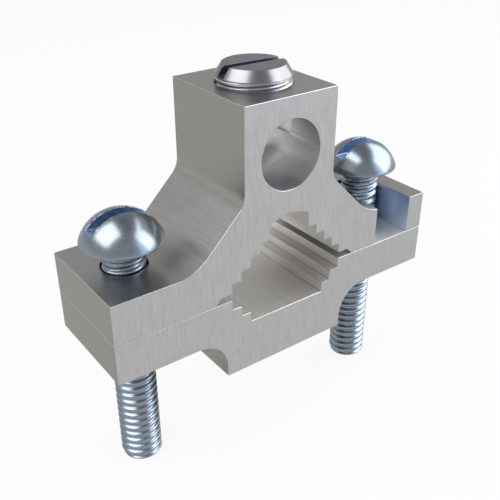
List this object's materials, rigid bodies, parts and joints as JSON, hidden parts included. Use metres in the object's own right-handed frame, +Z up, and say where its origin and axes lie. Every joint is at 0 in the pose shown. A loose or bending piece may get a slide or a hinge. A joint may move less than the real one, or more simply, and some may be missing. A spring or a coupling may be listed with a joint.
{
  "type": "grounding clamp",
  "caption": "Pipe grounding clamp: toothed jaws drawn together by slotted round head screws, a conductor tower with a set screw, and an open ear slot that lets the jaw swing aside.",
  "frame": {"origin": "centre of the pipe saddle: on the parting plane of the jaws, midway between the clamp screws, at mid-depth", "axes": "+X along the clamp towards the ear with the open slot, +Y along the pipe and the conductor hole, away from the slot's mouth, +Z up through the conductor tower"},
  "size_m": [0.058, 0.0176, 0.0589],
  "materials": {
    "aluminium": "brushed extruded aluminium",
    "zinc_plated_steel": "bright zinc plate",
    "plain_steel": "machined steel"
  },
  "bodies": {
    "lower_jaw": {"lower_jaw": "aluminium"},
    "left_screw": {"left_screw": "zinc_plated_steel"},
    "clamp_body": {"clamp_body": "aluminium"},
    "right_screw": {"right_screw": "zinc_plated_steel"},
    "set_screw": {"set_screw": "plain_steel"}
  },
  "joints": [
    {"name": "left_screw_travel", "type": "slide", "parent": "lower_jaw", "child": "left_screw", "axis": [0, 0, 1], "range_m": [0, 0.021]},
    {"name": "body_swing", "type": "hinge", "parent": "left_screw", "child": "clamp_body", "pos_m": [-0.0224, 0, 0], "axis": [0, 0, 1], "range_deg": [0, 180]},
    {"name": "right_screw_travel", "type": "slide", "parent": "lower_jaw", "child": "right_screw", "axis": [0, 0, 1], "range_m": [0, 0.021]},
    {"name": "set_screw_travel", "type": "slide", "parent": "clamp_body", "child": "set_screw", "axis": [0, 0, 1], "range_m": [-0.0042, 0.00127]}
  ],
  "couplings": [
    {"joint": "right_screw_travel", "follows": "left_screw_travel", "ratio": 1}
  ]
}
